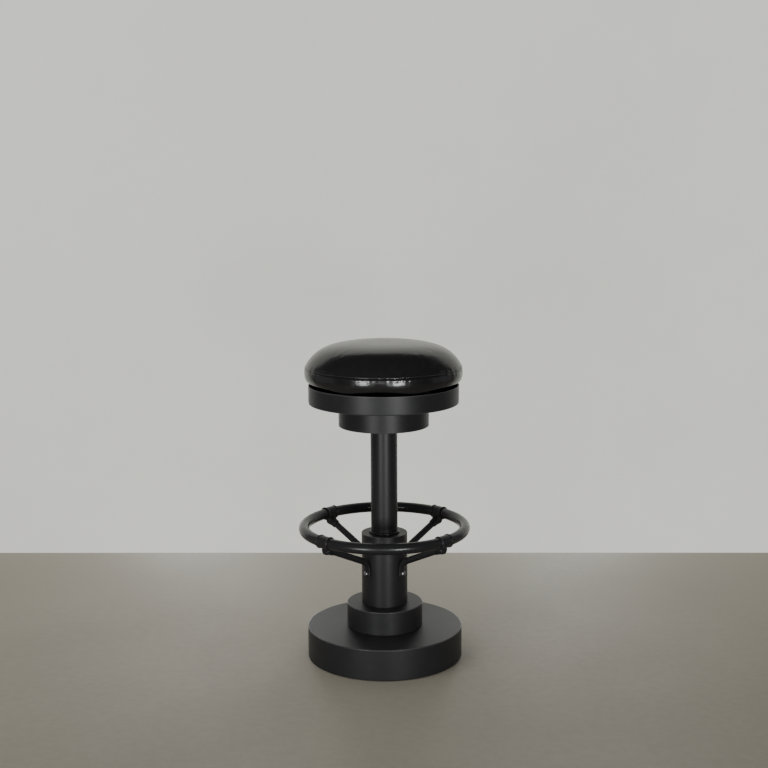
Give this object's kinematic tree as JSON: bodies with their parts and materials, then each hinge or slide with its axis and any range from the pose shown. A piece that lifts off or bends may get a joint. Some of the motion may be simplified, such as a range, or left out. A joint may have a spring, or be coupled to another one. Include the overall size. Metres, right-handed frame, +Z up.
{
  "type": "bar stool with foot ring",
  "caption": "Round swivelling bar stool: domed leather cushion on a stepped drum, slim column, ring footrest on bent spokes and a heavy disc base.",
  "frame": {"origin": "centre of the base's underside, on the floor", "axes": "+Z up along the column; the spokes stand on the four diagonals between +X, +Y, -X and -Y"},
  "size_m": [0.408, 0.408, 0.762],
  "materials": {
    "black_powder": "satin",
    "ring_enamel": "gloss",
    "fitting_black": "satin",
    "bright_steel": "satin",
    "zinc_steel": "satin",
    "dark_plate": "matte",
    "iron": "matte",
    "black_rubber": "matte",
    "nylon": "matte",
    "plywood": "matte",
    "stained_board": "matte",
    "seat_foam": "matte",
    "black_leather": "semi-gloss",
    "lining_cloth": "matte"
  },
  "bodies": {
    "stand": {"floor_ring": "black_rubber", "bottom_plate": "dark_plate", "bottom_screws": "zinc_steel", "standoffs": "zinc_steel", "ballast_weight": "iron", "base_shell": "black_powder", "plinth_shell": "black_powder", "hub_tube": "black_powder", "hub_cap": "black_powder", "column_trim_ring": "black_powder", "column_foot": "zinc_steel", "lower_centring_ring": "nylon", "upper_centring_ring": "nylon", "column": "black_powder", "column_top_flange": "zinc_steel", "tie_rod": "zinc_steel", "tie_rod_washer_lower": "zinc_steel", "tie_rod_washer_upper": "zinc_steel", "tie_rod_nut_lower": "zinc_steel", "tie_rod_nut_upper": "zinc_steel", "lower_drum": "black_powder", "riser": "zinc_steel", "riser_lower_bolts": "zinc_steel", "riser_upper_bolts": "zinc_steel", "riser_nuts": "zinc_steel", "upper_drum": "black_powder", "swivel_block": "stained_board", "swivel_lower_plate": "zinc_steel", "swivel_screws": "zinc_steel", "swivel_pivot": "zinc_steel", "pivot_washer": "zinc_steel", "pivot_screw_head": "zinc_steel", "foot_ring_back": "ring_enamel", "foot_ring_left": "ring_enamel", "foot_ring_front": "ring_enamel", "foot_ring_right": "ring_enamel", "ring_tee_back_right": "fitting_black", "ring_tee_back_left": "fitting_black", "ring_tee_front_left": "fitting_black", "ring_tee_front_right": "fitting_black", "spoke_back_right": "fitting_black", "spoke_back_left": "fitting_black", "spoke_front_left": "fitting_black", "spoke_front_right": "fitting_black", "spoke_washers": "zinc_steel", "spoke_bolts": "bright_steel", "rivet_nuts": "zinc_steel"},
    "seat": {"swivel_upper_plate": "zinc_steel", "seat_board": "plywood", "seat_bolts": "zinc_steel", "tee_nuts": "zinc_steel", "foam_core": "seat_foam", "leather_band": "black_leather", "leather_top": "black_leather", "dust_cover": "lining_cloth"},
    "cage": {"ball_cage": "nylon", "bearing_balls": "zinc_steel"}
  },
  "joints": [
    {"name": "seat_swivel", "type": "hinge", "parent": "stand", "child": "seat", "pos_m": [0, 0, 0.6648], "axis": [0, 0, 1], "continuous": true},
    {"name": "cage_swivel", "type": "hinge", "parent": "stand", "child": "cage", "pos_m": [0, 0, 0.6648], "axis": [0, 0, 1], "continuous": true}
  ],
  "couplings": [
    {"joint": "cage_swivel", "follows": "seat_swivel", "ratio": 0.5}
  ]
}
